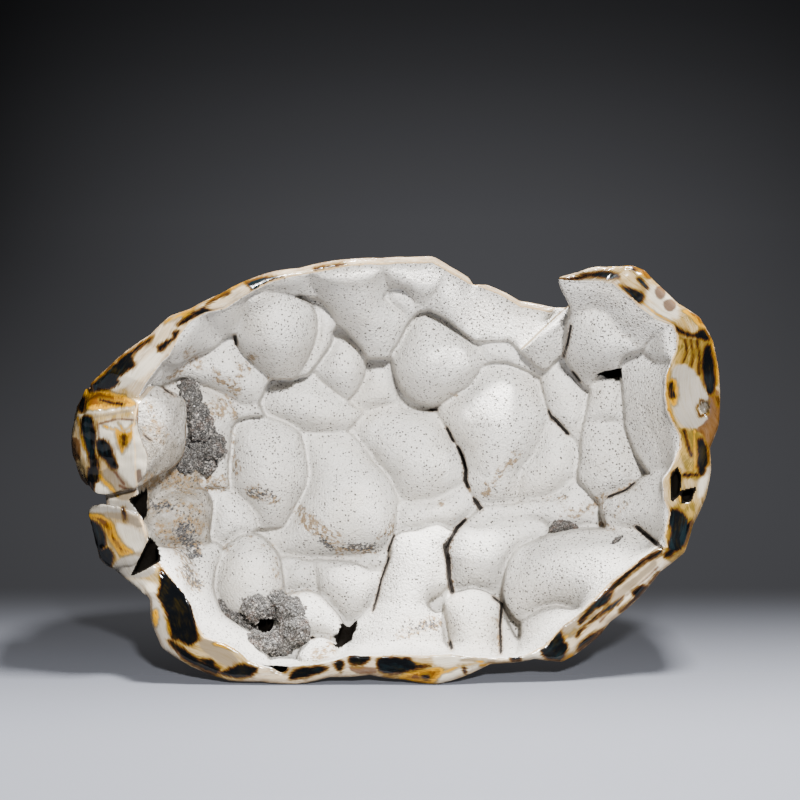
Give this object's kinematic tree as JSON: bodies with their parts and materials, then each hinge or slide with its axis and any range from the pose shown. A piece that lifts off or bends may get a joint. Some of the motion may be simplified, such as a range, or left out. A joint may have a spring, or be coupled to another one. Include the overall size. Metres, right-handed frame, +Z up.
{
  "type": "agate geode",
  "caption": "Open agate geode: a leaning stone bowl with a polished banded rim, a hollow lined with white chalcedony domes and patches of drusy crystal crust.",
  "frame": {"origin": "middle of the bounding box at the level the geode stands on", "axes": "+X to the right of somebody who looks into the hollow, +Y away from them towards the stone's back, +Z up"},
  "size_m": [0.2188, 0.0968, 0.1383],
  "materials": {
    "agate_stone": "matt white chalcedony domes inside, polished brown, blue-black and cream banded agate on the rim",
    "drusy_crystal": "rough grey-brown sugary quartz crystals"
  },
  "bodies": {
    "root": {"geode": "agate_stone", "drusy_crust_left": "drusy_crystal", "drusy_crust_floor": "drusy_crystal", "crust_chip_upper": "drusy_crystal", "crust_chip_lower": "drusy_crystal"}
  },
  "joints": []
}
